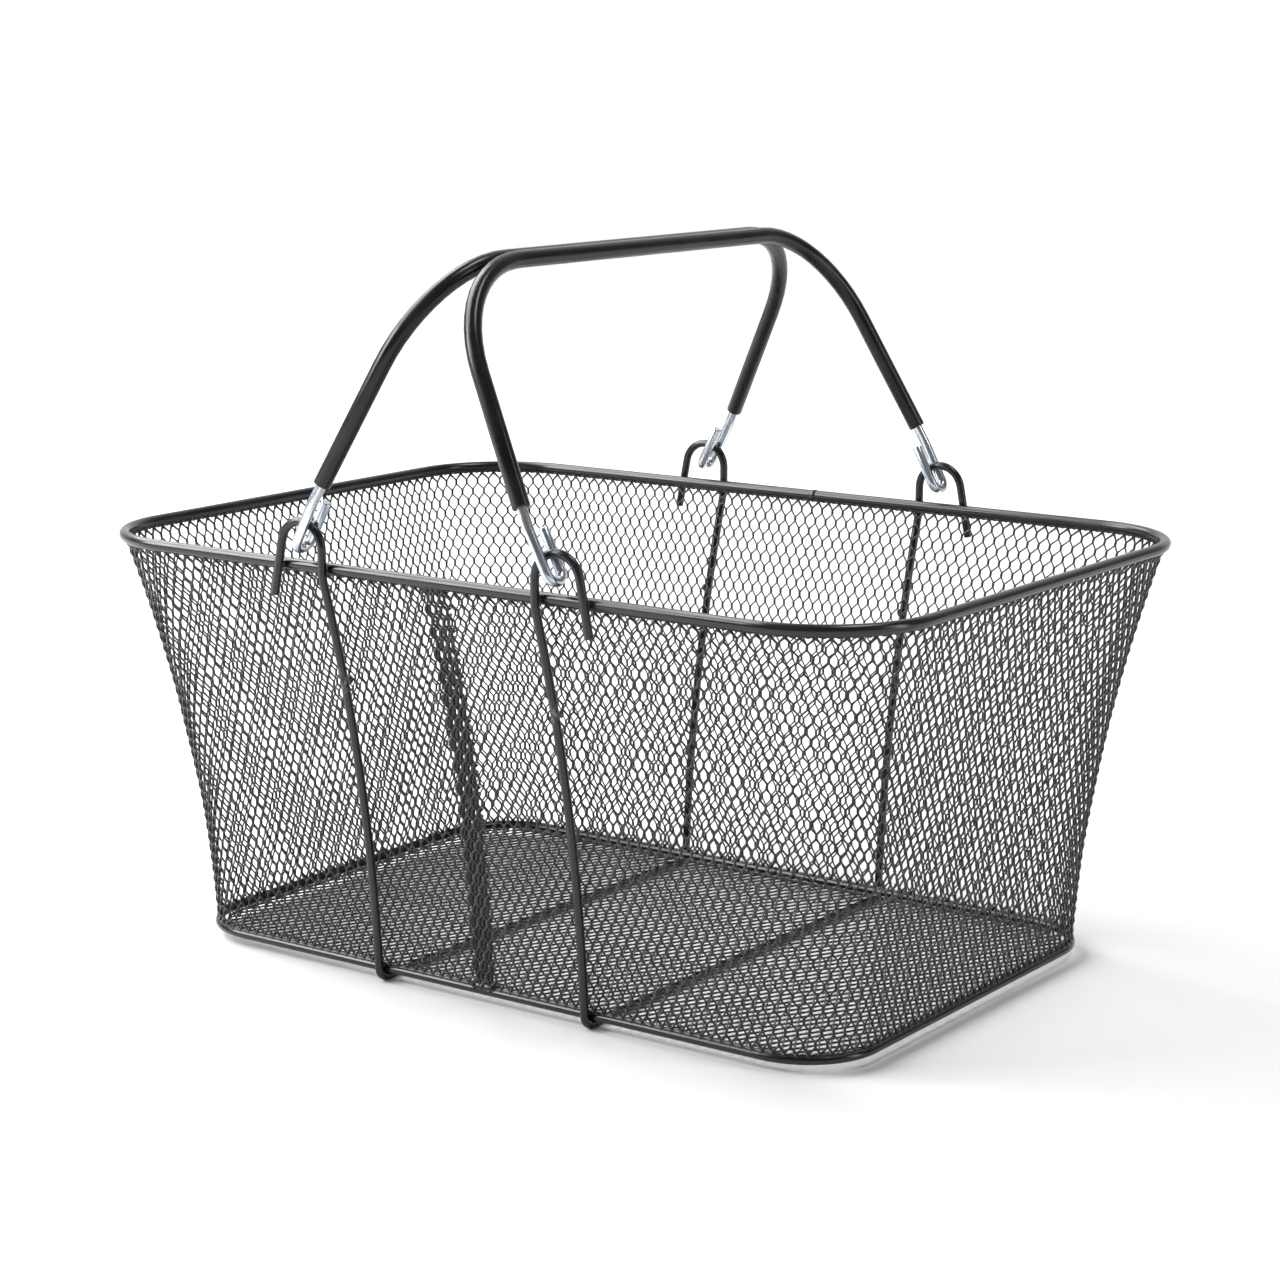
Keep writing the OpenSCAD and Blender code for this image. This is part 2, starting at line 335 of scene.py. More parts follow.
def mix_colour(tree, share, first, second):
    node = tree.nodes.new("ShaderNodeMix")
    node.data_type = "RGBA"
    share_in, first_in, second_in = 0, 6, 7
    for number, value in ((share_in, share), (first_in, first), (second_in, second)):
        socket = node.inputs[number]
        if isinstance(value, bpy.types.NodeSocket):
            tree.links.new(value, socket)
        else:
            socket.default_value = value
    return node.outputs[2]  # the outputs before it are for numbers and vectors


def relief(tree, surface, height, strength, distance):
    bump = add(
        tree, "ShaderNodeBump", {"Height": height, "Strength": strength, "Distance": distance}
    )
    tree.links.new(bump.outputs[0], surface.inputs["Normal"])


# %% Gloss black powder coat
patch_scale, peel_scale, streak_scale = 38.0, 1400.0, 900.0
peel_strength, peel_depth = 0.5, 0.02 * mm
rubbed_core, rubbed_reach = 1.0 * mm, 7.0 * mm
bare_grey = (0.16, 0.16, 0.17, 1)


def powder_coat(name, colour, worn, gloss, rubbed_at=None):
    """Black paint; where a height is given, a short band there is rubbed grey in streaks."""
    material, tree, surface, place = shader(name)
    patches = noise(tree, place, patch_scale, 3.0)
    tint = mix_colour(tree, spread(tree, patches, 0.0, 1.0, 0.45, 0.75), colour, worn)
    if rubbed_at is not None:
        z = add(tree, "ShaderNodeSeparateXYZ", {0: place}).outputs[2]
        away = maths(tree, "ABSOLUTE", maths(tree, "SUBTRACT", z, rubbed_at))
        band = spread(tree, away, 1.0, 0.0, rubbed_core, rubbed_reach)
        upright = vector_maths(tree, "MULTIPLY", {0: place, 1: (1.0, 1.0, 0.3)})
        streaks = spread(tree, noise(tree, upright, streak_scale, 3.0), 0.0, 1.0, 0.46, 0.6)
        tint = mix_colour(tree, maths(tree, "MULTIPLY", band, streaks), tint, bare_grey)
    tree.links.new(tint, surface.inputs["Base Color"])
    tree.links.new(spread(tree, patches, gloss - 0.05, gloss + 0.08), surface.inputs["Roughness"])
    relief(tree, surface, noise(tree, place, peel_scale), peel_strength, peel_depth)
    return material


black, faded = (0.008, 0.008, 0.011, 1), (0.016, 0.016, 0.020, 1)
strand_black, strand_faded = (0.014, 0.014, 0.018, 1), (0.028, 0.028, 0.033, 1)
wire_paint = powder_coat("powder_coat_wire", black, faded, 0.22)
leg_paint = powder_coat("powder_coat_leg", black, faded, 0.24, leg_weld_z)
mesh_paint = powder_coat("powder_coat_mesh", strand_black, strand_faded, 0.30)
print("paints:", [m.name for m in (wire_paint, leg_paint, mesh_paint)])

# %% [markdown]
# The handle rods are bright zinc plate: a thin metal skin with a blue passivation, rubbed
# brighter on its high spots and duller between. A drawn rod has fine lines along it and a
# pulled tube has soft folds, so both finishes read a map that is unrolled from the swept wire.


# %% Bright zinc and soft black grips
blue_zinc, bright_zinc = (0.22, 0.27, 0.34, 1), (0.80, 0.84, 0.88, 1)
grip_black, grip_bloom = (0.005, 0.005, 0.006, 1), (0.013, 0.013, 0.015, 1)
bloom_scale = 55.0


def drawn_lines(tree, lengthwise, round_about):
    """A noise that is stretched along a swept wire, as the marks of a drawing die are."""
    unrolled = add(tree, "ShaderNodeUVMap", uv_map="unrolled").outputs[0]
    stretched = vector_maths(tree, "MULTIPLY", {0: unrolled, 1: (lengthwise, round_about, 1)})
    return noise(tree, stretched, 1.0, 3.0)


def zinc_plate():
    material, tree, surface, _ = shader("zinc_plate")
    lines = drawn_lines(tree, 45.0, 9.0)
    tint = mix_colour(tree, spread(tree, lines, 0.0, 1.0, 0.36, 0.56), blue_zinc, bright_zinc)
    tree.links.new(tint, surface.inputs["Base Color"])
    tree.links.new(spread(tree, lines, 0.34, 0.16), surface.inputs["Roughness"])
    surface.inputs["Metallic"].default_value = 1.0
    relief(tree, surface, lines, 0.6, 0.05 * mm)
    return material


def soft_grip():
    material, tree, surface, place = shader("soft_black_grip")
    bloom = noise(tree, place, bloom_scale, 3.0)
    tint = mix_colour(tree, spread(tree, bloom, 0.0, 1.0, 0.45, 0.7), grip_black, grip_bloom)
    tree.links.new(tint, surface.inputs["Base Color"])
    tree.links.new(spread(tree, bloom, 0.22, 0.32), surface.inputs["Roughness"])
    surface.inputs["Specular IOR Level"].default_value = 0.38
    relief(tree, surface, drawn_lines(tree, 5.0, 7.0), 0.7, 0.5 * mm)
    return material


zinc, grip_skin = zinc_plate(), soft_grip()
print("finishes of the handles:", zinc.name, grip_skin.name)

# %% [markdown]
# ## Expanded mesh
# Expanded metal is a sheet that is slit in rows and pulled open, so its openings lie like the
# cells of a honeycomb and every strand meets two others. A cell could be modelled once and
# repeated, but copies don't bend with the wall. So the tree draws the whole lattice flat, from
# a triangle grid: the dual of such a grid is a honeycomb.


# %% The flat lattice
row_height = math.sqrt(3) / 2


def position_xy(tree):
    x, y, _ = add(tree, "ShaderNodeSeparateXYZ", {0: field(tree, "Position")}).outputs
    return x, y


def flat_lattice(tree, columns, rows):
    """A honeycomb that is one unit wide for each column, with one to spare on every side."""
    wide, tall = maths(tree, "ADD", columns, 2.0), maths(tree, "ADD", rows, 2.0)
    counts = {
        "Size X": 1.0,
        "Size Y": 1.0,
        "Vertices X": maths(tree, "ADD", wide, 1.0),
        "Vertices Y": maths(tree, "ADD", tall, 1.0),
    }
    grid = add(tree, "GeometryNodeMeshGrid", counts).outputs["Mesh"]
    column, row = (
        maths(tree, "ROUND", maths(tree, "MULTIPLY", maths(tree, "ADD", here, 0.5), count))
        for here, count in zip(position_xy(tree), (wide, tall))
    )
    shift = maths(tree, "MULTIPLY", maths(tree, "FLOORED_MODULO", row, 2.0), 0.5)
    x = maths(tree, "SUBTRACT", maths(tree, "ADD", column, shift), 1.0)
    y = maths(tree, "MULTIPLY", maths(tree, "SUBTRACT", row, 1.0), row_height)
    place = add(tree, "ShaderNodeCombineXYZ", {0: x, 1: y}).outputs[0]
    cells = add(tree, "GeometryNodeSetPosition", {"Geometry": grid, "Position": place}).outputs[0]
    triangles = add(tree, "GeometryNodeTriangulate", {0: cells}).outputs[0]
    return add(tree, "GeometryNodeDualMesh", {0: triangles}).outputs[0]


# %% [markdown]
# The lattice is then laid on the guide by the guide's UV map. Where two strands run side by
# side they are bonded, and the two ends of a bond stand a little in front of and behind the
# sheet, as the pulled strands do.


# %% Where each joint of the lattice belongs
def places_on_strip(tree, columns, rows, bond_length):
    """Shares of the way along and up the strip, and which end of its bond each joint is."""
    x, y = position_xy(tree)
    level = maths(tree, "DIVIDE", y, row_height)
    end = maths(tree, "SUBTRACT", maths(tree, "ROUND", maths(tree, "FRACT", level)), 0.5)
    middle = maths(tree, "ADD", maths(tree, "FLOOR", level), 0.5)
    reach = maths(tree, "MULTIPLY", end, maths(tree, "SUBTRACT", 1.0, bond_length))
    height = maths(tree, "ADD", middle, reach)
    return maths(tree, "DIVIDE", x, columns), maths(tree, "DIVIDE", height, rows), end


def keep_between(tree, lattice, along, begin, end):
    """Keeps the strands whose middle is between two shares of the way along."""
    before = add(tree, "FunctionNodeCompare", {0: along, 1: begin}, operation="LESS_THAN")
    past = add(tree, "FunctionNodeCompare", {0: along, 1: end}, operation="GREATER_EQUAL")
    either = {0: before.outputs[0], 1: past.outputs[0]}
    outside = add(tree, "FunctionNodeBooleanMath", either, operation="OR").outputs[0]
    choice = {"Geometry": lattice, "Selection": outside}
    return add(
        tree, "GeometryNodeDeleteGeometry", choice, domain="EDGE", mode="EDGE_FACE"
    ).outputs[0]


def guide_reader(tree, guide, along, up):
    """Makes a function that reads a field of the guide at those shares of its UV map."""
    margin = 0.0005
    inside = [
        add(tree, "ShaderNodeClamp", {0: share, 1: margin, 2: 1 - margin}).outputs[0]
        for share in (along, up)
    ]
    spot = add(tree, "ShaderNodeCombineXYZ", dict(enumerate(inside))).outputs[0]
    strip_map = attribute(tree, "strip", "FLOAT_VECTOR")

    def read(value):
        node = tree.nodes.new("GeometryNodeSampleUVSurface")
        node.data_type = "FLOAT_VECTOR"
        tree.links.new(guide, node.inputs[0])
        tree.links.new(value, next(s for s in node.inputs if s.name == "Value" and s.enabled))
        tree.links.new(strip_map, next(s for s in node.inputs if "UV Map" in s.name))
        tree.links.new(spot, next(s for s in node.inputs if s.name == "Sample UV"))
        return next(s for s in node.outputs if s.enabled), node.outputs["Is Valid"]

    return read


# %% [markdown]
# Every edge becomes a thin bar. Paint and weld metal gather where strands meet, along both
# edges of the strip and in the lap, most of all near its foot. So each joint and each edge of
# the lattice is marked first with what the bars need to know.


# %% Marks on the lattice
edge_zone = 0.012
lap_open_at, lap_filled_at = 0.96, 0.62
least_filled, most_filled = 0.25, 0.95


def store(tree, geometry, name, value, domain):
    inputs = {"Geometry": geometry, "Name": name, "Value": value}
    kinds = {"data_type": "FLOAT", "domain": domain}
    return add(tree, "GeometryNodeStoreNamedAttribute", inputs, **kinds).outputs[0]


def build_up(tree, along, up, at_edges, lap):
    """How many times thicker than bare a strand is."""
    off_middle, off_seam = (
        maths(tree, "ABSOLUTE", maths(tree, "SUBTRACT", share, 0.5)) for share in (up, along)
    )
    edges = spread(tree, off_middle, 1.0, at_edges, 0.5 - edge_zone, 0.5)
    lapped = maths(tree, "GREATER_THAN", off_seam, maths(tree, "SUBTRACT", 0.5, lap))
    filled = spread(tree, up, least_filled, most_filled, lap_open_at, lap_filled_at)
    in_lap = maths(tree, "ADD", 1.0, maths(tree, "MULTIPLY", lapped, filled))
    return maths(tree, "MULTIPLY", edges, in_lap)


def is_upright(tree):
    """Bonds are the upright edges of the flat lattice; its other edges slant."""
    ends = tree.nodes.new("GeometryNodeInputMeshEdgeVertices").outputs
    across = vector_maths(tree, "SUBTRACT", {0: ends["Position 1"], 1: ends["Position 2"]})
    sideways = add(tree, "ShaderNodeSeparateXYZ", {0: across}).outputs[0]
    return maths(tree, "LESS_THAN", maths(tree, "ABSOLUTE", sideways), 0.1)


# %% Bars for the strands
def strands(tree, lattice, given):
    """A bar along each edge: bonds are wide, and slants have a waist in the middle."""
    bonded = maths(tree, "GREATER_THAN", attribute(tree, "bond"), 0.5)
    kinds = add(
        tree,
        "GeometryNodeSeparateGeometry",
        {"Geometry": lattice, "Selection": bonded},
        domain="EDGE",
    ).outputs
    bonds, slants = (add(tree, "GeometryNodeMeshToCurve", {0: kind}).outputs[0] for kind in kinds)
    halved = add(tree, "GeometryNodeSubdivideCurve", {"Curve": slants, "Cuts": 1}).outputs[0]
    nth = tree.nodes.new("GeometryNodeSplineParameter").outputs["Index"]
    is_middle = maths(tree, "MODULO", nth, 2.0)
    extra = maths(tree, "SUBTRACT", given["Bond width"], 1.0)
    waist = maths(tree, "SUBTRACT", given["Bond width"], maths(tree, "MULTIPLY", extra, is_middle))
    both = tree.nodes.new("GeometryNodeJoinGeometry")
    for lines, width in ((bonds, given["Bond width"]), (halved, waist)):
        scale = maths(tree, "MULTIPLY", attribute(tree, "build_up"), width)
        bars = round_bar(tree, lines, given["Strand radius"], given["Sides"], scale)
        tree.links.new(bars, both.inputs[0])
    return both.outputs[0]


# %% The mesh tree
def expanded_mesh_tree():
    whole_numbers = ["Columns", "Rows", "Sides"]
    lengths = ["Strand radius", "Relief"]
    shares = ["From", "To", "Bond length", "Bond width", "Edge build-up", "Lap"]
    inputs = {name: "Int" for name in whole_numbers} | {name: "Float" for name in lengths + shares}
    tree, given = new_tree("Expanded mesh", inputs | {"Material": "Material"})
    lattice = flat_lattice(tree, given["Columns"], given["Rows"])
    along, up, end = places_on_strip(tree, given["Columns"], given["Rows"], given["Bond length"])
    lattice = keep_between(tree, lattice, along, given["From"], given["To"])
    read = guide_reader(tree, given["Geometry"], along, up)
    where, found = read(field(tree, "Position"))
    outward, _ = read(field(tree, "Normal"))
    missed = add(tree, "FunctionNodeBooleanMath", {0: found}, operation="NOT").outputs[0]
    choice = {"Geometry": lattice, "Selection": missed}
    lattice = add(tree, "GeometryNodeDeleteGeometry", choice, domain="POINT").outputs[0]
    thickness = build_up(tree, along, up, given["Edge build-up"], given["Lap"])
    lattice = store(tree, lattice, "build_up", thickness, "POINT")
    lattice = store(tree, lattice, "bond", is_upright(tree), "EDGE")
    height = maths(tree, "MULTIPLY", end, given["Relief"])
    lift = vector_maths(tree, "SCALE", {0: outward, "Scale": height})
    laid = {"Geometry": lattice, "Position": where, "Offset": lift}
    lattice = add(tree, "GeometryNodeSetPosition", laid).outputs[0]
    corners = tree.nodes.new("GeometryNodeInputMeshFaceNeighbors").outputs["Vertex Count"]
    is_cap = maths(tree, "GREATER_THAN", corners, 4.5)  # the long faces of a bar have four corners
    finish_tree(tree, strands(tree, lattice, given), given["Material"], flat=is_cap)
    return tree


mesh_tree = expanded_mesh_tree()
print("nodes in the mesh tree:", len(mesh_tree.nodes))

# %% [markdown]
# The wall could be one piece, but all its strands together would be too heavy to hand over
# whole. So the same tree runs four times, each time for a quarter of the strip, and the
# quarters meet without a gap because they are cut from one lattice.

# %% The wall, in four parts
wall_columns, wall_rows = 225, 36
strand_sizes = {
    "Strand radius": 0.42 * mm,
    "Bond length": 0.38,
    "Bond width": 1.5,
    "Edge build-up": 2.0,
    "Relief": 0.5 * mm,
    "Sides": 6,
    "Material": mesh_paint,
}
wall_parts = {
    "wall_mesh_front_right": (0.0, 0.25),
    "wall_mesh_back_right": (0.25, 0.5),
    "wall_mesh_back_left": (0.5, 0.75),
    "wall_mesh_front_left": (0.75, 1.0),
}
for part, (begin, end) in wall_parts.items():
    piece = run_tree(
        part,
        wall_guide(),
        mesh_tree,
        Columns=wall_columns,
        Rows=wall_rows,
        From=begin,
        To=end,
        Lap=lap_share,
        **strand_sizes,
    )
    stand_for(piece, "basket", "wall_mesh")

# %% [markdown]
# The floor is a flat panel of the same mesh, cut to the inside of the base wire. Its guide is a
# rounded rectangle, mapped as it lies. A strand that has an end off the map would be lost, which
# leaves holes along the round corners. So a narrow band round the guide stands for a much wider
# one on the map, and presses the ends of those strands onto the edge.


# %% The floor panel
floor_edge_gap, floor_outline_points = 0.6 * mm, 120
floor_cell_x, floor_cell_y = 6.0 * mm, 5.3 * mm
floor_size = floor_high - floor_low


def floor_guide():
    half_x, half_y = floor_size.x / 2 - floor_edge_gap, floor_size.y / 2 - floor_edge_gap
    middle_z = (floor_high.z + floor_low.z) / 2
    share = np.linspace(0, 1, floor_outline_points, False)
    outline, outward = ring_points(half_x, half_y, base_corner - base_r, share)
    band, pressed = 0.3 * mm, 4.0 * mm
    flat = np.concatenate([[(0.0, 0.0)], outline, outline + outward * band])
    mapped = np.concatenate([[(0.0, 0.0)], outline, outline + outward * pressed])
    count = len(outline)
    nexts = [(i, (i + 1) % count) for i in range(count)]
    faces = [(0, i + 1, j + 1) for i, j in nexts]
    faces += [(i + 1, i + 1 + count, j + 1 + count, j + 1) for i, j in nexts]
    mesh = bpy.data.meshes.new("floor_guide")
    mesh.from_pydata([(x, y, middle_z) for x, y in flat], [], faces)
    layer = mesh.uv_layers.new(name="strip")
    for corner, loop in enumerate(mesh.loops):
        x, y = mapped[loop.vertex_index]
        layer.uv[corner].vector = ((x / half_x + 1) / 2, (y / half_y + 1) / 2)
    return mesh


floor_panel = run_tree(
    "floor_panel",
    floor_guide(),
    mesh_tree,
    Columns=round(floor_size.x / floor_cell_x),
    Rows=round(floor_size.y / floor_cell_y),
    From=-1.0,
    To=2.0,
    Lap=0.0,
    **strand_sizes,
)
stand_for(floor_panel, "basket", "floor_mesh")

# %% [markdown]
# ## Bent wires
# A wire bender is told how far to feed, how much to roll the wire, how far to bend it and round
# what radius. The same short lists draw each path here, and a tree sweeps a round section
# along it. A curve with a bevel would also do, but a stored thickness lets the cut ends taper.


# %% Paths for bent wires
fewest_pieces, widest_turn, longest_piece = 4, math.radians(7), 10.8 * mm


def wire_path(place, side, ahead, steps):
    """Points along a wire from (feed, roll, angle, bend radius) steps, in metres and radians."""
    place, side, ahead = Vector(place), Vector(side).normalized(), Vector(ahead).normalized()
    points = [place.copy()]
    for feed, roll, angle, radius in steps:
        if feed:
            place = place + ahead * feed
            points.append(place.copy())
        side = Matrix.Rotation(roll, 3, ahead) @ side
        if angle:
            axis, centre = ahead.cross(side), place + side * radius
            pieces = angle / widest_turn, angle * radius / longest_piece
            count = max(fewest_pieces, *map(math.ceil, pieces))
            turn = Matrix.Rotation(angle / count, 3, axis)
            for _ in range(count):
                place = centre + turn @ (place - centre)
                side, ahead = turn @ side, turn @ ahead
                points.append(place.copy())
    return points


def path_mesh(name, points, thickness=None, closed=False):
    """A line of points as a mesh of edges, with the share of the full thickness at each."""
    mesh = bpy.data.meshes.new(name)
    count = len(points)
    edges = [(i, i + 1) for i in range(count - 1)] + ([(count - 1, 0)] if closed else [])
    mesh.from_pydata([tuple(p) for p in points], edges, [])
    values = mesh.attributes.new("thickness", "FLOAT", "POINT")
    values.data.foreach_set("value", np.array(thickness or [1.0] * count, np.float32))
    return mesh


def with_ends(points, profile):
    """Adds the tapers of both ends: pairs of distance from the end and share of thickness."""
    first = (points[1] - points[0]).normalized()
    last = (points[-2] - points[-1]).normalized()
    head = [points[0] + first * d for d, _ in profile]
    tail = [points[-1] + last * d for d, _ in reversed(profile)]
    shares = [s for _, s in profile]
    whole = head + list(points[1:-1]) + tail
    return whole, shares + [1.0] * (len(points) - 2) + shares[::-1]


cut_end = [(0.0, 0.72), (0.2 * mm, 0.9), (0.55 * mm, 1.0)]


# %% The sweep tree
def swept_wire_tree():
    tree, given = new_tree("Swept wire", {"Radius": "Float", "Sides": "Int", "Material": "Material"})
    line = add(tree, "GeometryNodeMeshToCurve", {0: given["Geometry"]}).outputs[0]
    wire = round_bar(tree, line, given["Radius"], given["Sides"], attribute(tree, "thickness"))
    finish_tree(tree, wire, given["Material"])
    return tree


sweep_tree = swept_wire_tree()
print("nodes in the sweep tree:", len(sweep_tree.nodes))


# %% Sweep a wire and unroll its surface
def unroll(mesh, along, count, sides):
    """UV map of a swept wire: metres along it, and the share of the way round it."""
    layer = mesh.uv_layers.new(name="unrolled")
    for face in mesh.polygons:
        face.use_smooth = len(face.vertices) == 4
        rings = [v // sides for v in face.vertices]
        spots = [v % sides for v in face.vertices]
        over_end = max(rings) - min(rings) > 1
        over_seam = max(spots) - min(spots) > 1 and len(rings) == 4
        for loop, ring, spot in zip(face.loop_indices, rings, spots):
            i = count if over_end and ring == 0 else ring
            j = sides if over_seam and spot == 0 else spot
            layer.uv[loop].vector = (along[i], j / sides)


def sweep(name, mesh, radius, material, sides=20):
    line = np.array([v.co for v in mesh.vertices])
    steps = np.linalg.norm(np.diff(line, axis=0, append=line[:1]), axis=1)
    along = np.concatenate([[0.0], np.cumsum(steps)])
    piece = run_tree(name, mesh, sweep_tree, Radius=radius, Sides=sides, Material=material)
    unroll(piece.data, along, len(line), sides)
    return piece


# %% Rim wire and base wire
ring_pieces = 320


def ring_wire(name, half_x, half_y, corner, z, radius, sides):
    places, _ = ring_points(half_x, half_y, corner, np.linspace(0, 1, ring_pieces, False))
    path = path_mesh(name + "_path", [(x, y, z) for x, y in places], closed=True)
    return sweep(name, path, radius, wire_paint, sides)


rim_wire = ring_wire("rim_wire", rim_half_x, rim_half_y, rim_corner, rim_z, rim_r, 24)
stand_for(rim_wire, "basket", "rim_ring")
base_wire = ring_wire("base_wire", base_half_x, base_half_y, base_corner, base_z, base_r, 20)
stand_for(base_wire, "basket", "base_ring")

# %% [markdown]
# Where the ends of a ring meet they are butt welded: the hot ends are pushed together, so the
# wire swells a little there and is ground back. A ball or a sleeve would look stuck on, so it is
# a short sweep along the same line, with a swollen middle.

# %% Butt welds of the two rings
swell = [0.98, 1.03, 1.08, 1.11, 1.12, 1.11, 1.08, 1.03, 0.98]
swell_step = 0.5 * mm


def butt_weld(name, y, z, radius):
    points = [Vector(((i - len(swell) // 2) * swell_step, y, z)) for i in range(len(swell))]
    return sweep(name, path_mesh(name, points, swell), radius, wire_paint)


rim_weld = butt_weld("rim_butt_weld", rim_half_y, rim_z, rim_r)
stand_for(rim_weld, "basket", "rim_joint_weld")
base_weld = butt_weld("base_butt_weld", base_half_y, base_z, base_r)
stand_for(base_weld, "basket", "base_joint_weld")

# %% [markdown]
# Each support wire is one length: a loose tail, an eye for the handle, the leg down the wall,
# a run under the floor, and the same again at the back. The leg follows the flare as one long
# bow, and the bow's radius follows from the height and width that it has to cover.

# %% Sizes of the bow and the tail
bow_start_y = foot_y - foot_bend * (1 - math.cos(leg_lean_foot))
bow_reach = loop_y - bow_start_y - knee_bend * (1 - math.cos(leg_lean_rim))
bow_r = bow_reach / (math.cos(leg_lean_foot) - math.cos(leg_lean_rim))
knee_top = (
    support_r
    + foot_bend * (1 - math.sin(leg_lean_foot))
    + bow_r * (math.sin(leg_lean_rim) - math.sin(leg_lean_foot))
    + knee_bend * math.sin(leg_lean_rim)
)
hinge_x = support_x + eye_r
tail_x = hinge_x + eye_r * math.cos(eye_splay)
tail_top = eye_z + eye_r * math.sin(eye_splay)
tail_below_rim = 14 * mm
tail_length = (tail_top - rim_z + tail_below_rim) / math.cos(eye_splay)
print("bow radius", round(bow_r, 3), "tail", round(tail_length, 4))


# %% The two support wires
def support_wire(name, side):
    quarter_turn = side * math.pi / 2
    foot, bow = math.pi / 2 - leg_lean_foot, leg_lean_rim - leg_lean_foot
    rise, eye = eye_z - knee_top, math.pi - eye_splay
    steps = [
        (tail_length, 0, eye, eye_r),
        (rise, -quarter_turn, leg_lean_rim, knee_bend),
        (0, math.pi, bow, bow_r),
        (0, math.pi, foot, foot_bend),
        (2 * (foot_y - foot_bend), 0, foot, foot_bend),
        (0, math.pi, bow, bow_r),
        (0, math.pi, leg_lean_rim, knee_bend),
        (rise, quarter_turn, eye, eye_r),
        (tail_length, 0, 0, 0),
    ]
    splay_x, splay_z = math.sin(eye_splay), math.cos(eye_splay)
    start = (side * (tail_x + tail_length * splay_x), -loop_y, tail_top - tail_length * splay_z)
    points = wire_path(start, (-side * splay_z, 0, -splay_x), (-side * splay_x, 0, splay_z), steps)
    points, shares = with_ends(points, cut_end)
    return sweep(name, path_mesh(name, points, shares), support_r, leg_paint)


for name, side in (("left", -1), ("right", 1)):
    wire = support_wire("leg_wire_" + name, side)
    stand_for(wire, "basket", "support_wire_" + name)

# %% [markdown]
# ## Handles
# A handle is one plated rod: a hook that hangs in the eye, a leg, a wide bend, the bar, and
# the same again. The grip is a length of soft tube pushed over it. Both are drawn upright on
# the hinge line and then leaned over to where the two handles nearly touch.

# %% The shape of a handle
rod_r, grip_r = 2.4 * mm, 4 * mm
reach, grip_corner, bar_half = 145 * mm, 58 * mm, 97 * mm
hook_return, sleeve_start = 24 * mm, 34 * mm
hook_gap, grips_gap = 0.4 * mm, 0.5 * mm
hook_r = support_r + hook_gap + rod_r
hook_run, hook_set = 22 * mm, 40 * mm
set_a = bar_half - loop_y - hook_r + hook_set
set_b = reach - grip_corner - hook_run
leg_set = math.atan2(set_b, set_a) - math.acos((hook_set - grip_corner) / math.hypot(set_a, set_b))
leg_run = (set_b + (grip_corner - hook_set) * math.sin(leg_set)) / math.cos(leg_set)
sleeve_skip = (sleeve_start - hook_run - hook_set * math.sin(leg_set)) / math.cos(leg_set)
rest_lean = math.asin((hinge_x - grip_r - grips_gap / 2) / reach)
leans = [round(math.degrees(angle), 2) for angle in (leg_set, rest_lean)]
print("the legs lean in by", leans[0], "degrees and the handles rest at", leans[1])


def on_hinge(points, side):
    lean = Matrix.Rotation(-side * rest_lean, 4, "Y")
    place = Matrix.Translation((side * hinge_x, 0, eye_z)) @ lean
    return [place @ p for p in points]


# %% Rods and grips
corner_turn = math.pi / 2 - leg_set
bail = [(leg_run, 0, corner_turn, grip_corner), (2 * bar_half, 0, corner_turn, grip_corner)]


def handle_rod(name, side):
    steps = [(hook_return - hook_r, 0, math.pi, hook_r), (hook_run - hook_r, 0, leg_set, hook_set)]
    steps += bail
    steps += [(leg_run, 0, leg_set, hook_set), (hook_run - hook_r, 0, math.pi, hook_r)]
    steps += [(hook_return - hook_r, 0, 0, 0)]
    points = wire_path((0, loop_y - hook_r, hook_return), (0, 1, 0), (0, 0, -1), steps)
    points, shares = with_ends(on_hinge(points, side), cut_end)
    return sweep(name, path_mesh(name, points, shares), rod_r, zinc)


def grip(name, side):
    (run, *first), second = bail
    short = run - sleeve_skip
    steps = [(short, *first), second, (short, 0, 0, 0)]
    sine, cosine = math.sin(leg_set), math.cos(leg_set)
    start_y = loop_y + hook_r - hook_set * (1 - cosine) - sleeve_skip * sine
    points = wire_path((0, start_y, sleeve_start), (0, -cosine, -sine), (0, -sine, cosine), steps)
    lip = [(0.0, rod_r / grip_r), (0.03 * mm, 0.86), (0.2 * mm, 0.95), (0.7 * mm, 1.0)]
    points, shares = with_ends(on_hinge(points, side), lip)
    return sweep(name, path_mesh(name, points, shares), grip_r, grip_skin, 28)


for name, side in (("left", -1), ("right", 1)):
    stand_for(handle_rod("rod_" + name, side), name + "_handle", "handle_rod_" + name)
    stand_for(grip("sleeve_" + name, side), name + "_handle", "grip_" + name)

# %% [markdown]
# ## Weld beads
# Wires that cross are joined by small beads that the powder coat has rounded over. The tree
# puts a ball on each point, squashes it to the size stored there, and then pushes its skin in
# and out with a noise that reads its place, so no two beads are alike and nothing is random.


# %% The bead tree
lump_scale, lump_middle = 650.0, 0.55


def weld_bead_tree():
    tree, given = new_tree("Weld beads", {"Roughness": "Float", "Material": "Material"})
    ball = add(
        tree, "GeometryNodeMeshIcoSphere", {"Radius": 1.0, "Subdivisions": 4}
    ).outputs["Mesh"]
    spots = add(tree, "GeometryNodeMeshToPoints", {0: given["Geometry"]}).outputs[0]
    size = attribute(tree, "size", "FLOAT_VECTOR")
    beads = add(
        tree, "GeometryNodeInstanceOnPoints", {"Points": spots, "Instance": ball, "Scale": size}
    ).outputs[0]
    whole = add(tree, "GeometryNodeRealizeInstances", {0: beads}).outputs[0]
    lumps = maths(tree, "SUBTRACT", noise(tree, field(tree, "Position"), lump_scale), lump_middle)
    push = maths(tree, "MULTIPLY", lumps, given["Roughness"])
    offset = vector_maths(tree, "SCALE", {0: field(tree, "Normal"), "Scale": push})
    rough = add(tree, "GeometryNodeSetPosition", {"Geometry": whole, "Offset": offset}).outputs[0]
    finish_tree(tree, rough, given["Material"])
    return tree


